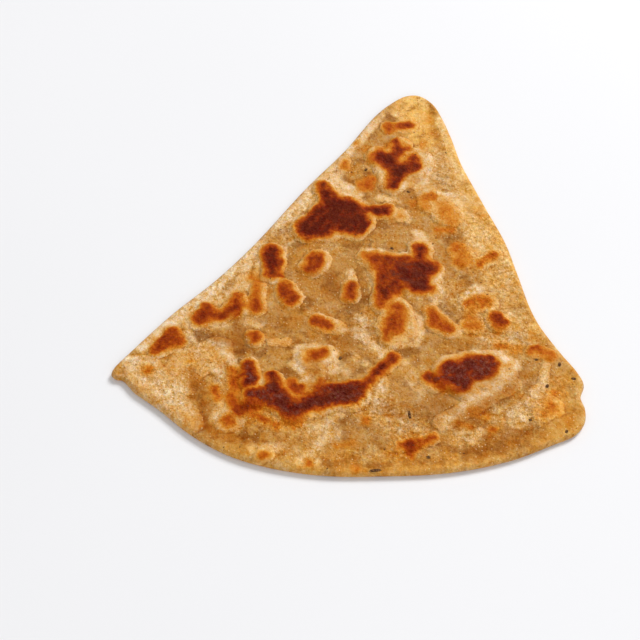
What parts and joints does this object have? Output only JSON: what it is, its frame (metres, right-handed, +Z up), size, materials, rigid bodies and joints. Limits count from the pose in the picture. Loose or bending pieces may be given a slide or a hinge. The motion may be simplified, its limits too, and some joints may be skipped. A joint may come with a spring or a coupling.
{
  "type": "paratha flatbread",
  "caption": "Triangular pan-browned wholewheat flatbread with rounded corners, a curved base, a blistered upper face and a flat underside.",
  "frame": {"origin": "middle of the bread's bounding box, on the flat underside that it lies on", "axes": "+X from the sharp corner to the blunt corner, +Y from the curved base to the tip, +Z up out of the browned upper face"},
  "size_m": [0.1706, 0.186, 0.0044],
  "materials": {
    "crust": "pan-browned wholewheat dough, golden tan with pale blister flanks, dark brown scorch marks, a thin film of oil and embedded seeds"
  },
  "bodies": {
    "root": {"paratha": "crust"}
  },
  "joints": []
}
